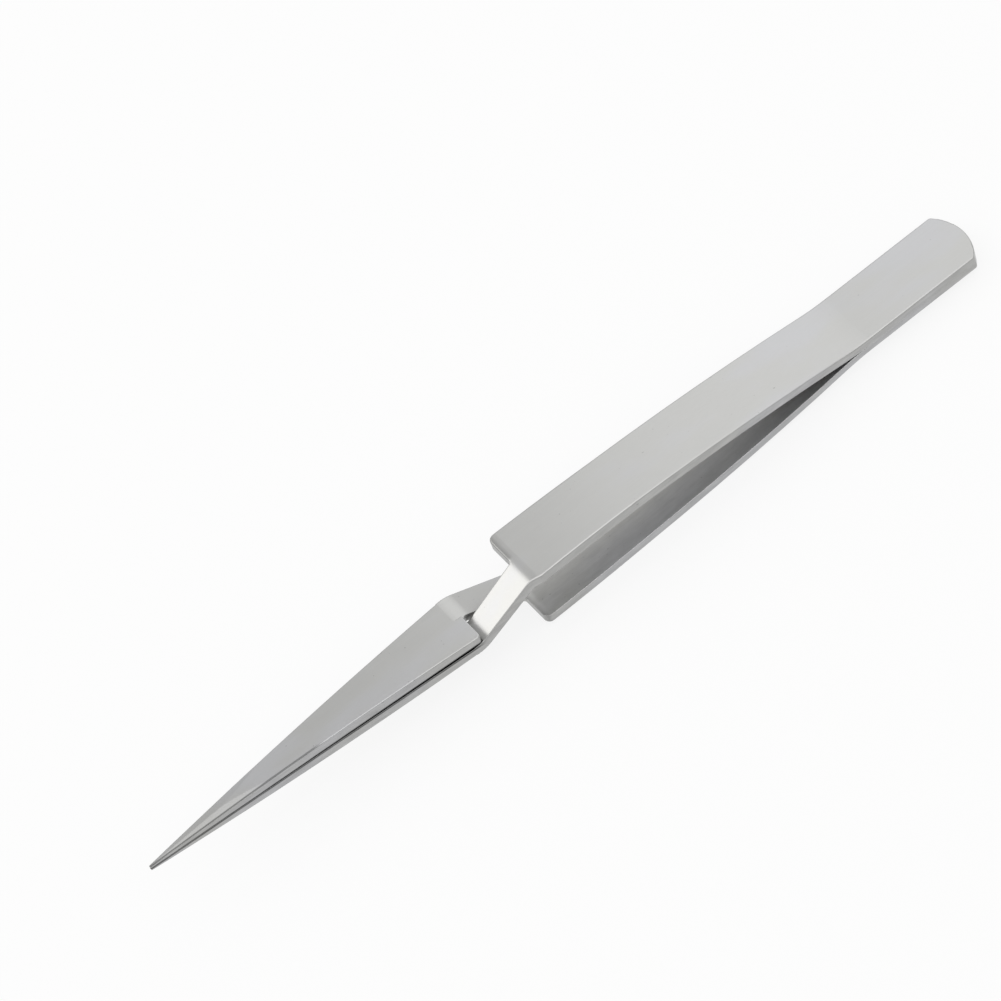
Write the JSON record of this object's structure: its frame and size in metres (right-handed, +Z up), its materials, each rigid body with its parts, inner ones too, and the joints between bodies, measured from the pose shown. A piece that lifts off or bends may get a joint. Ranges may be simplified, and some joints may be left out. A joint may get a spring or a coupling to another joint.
{
  "type": "reverse-action tweezers",
  "caption": "Straight reverse-action tweezers: bowed flat steel arms joined at the heel, crossing at narrow necks to fine pointed jaws that stay shut until squeezed.",
  "frame": {"origin": "centre of the bounding box on the bench that the tweezers lie on", "axes": "+X from the tips to the heel along the pair, +Y across the handle's width, +Z up from the bench"},
  "size_m": [0.12, 0.0086, 0.0093],
  "materials": {
    "steel": "fine satin, brushed along the handles"
  },
  "bodies": {
    "root": {"upper_arm": "steel", "lower_arm": "steel"}
  },
  "joints": []
}
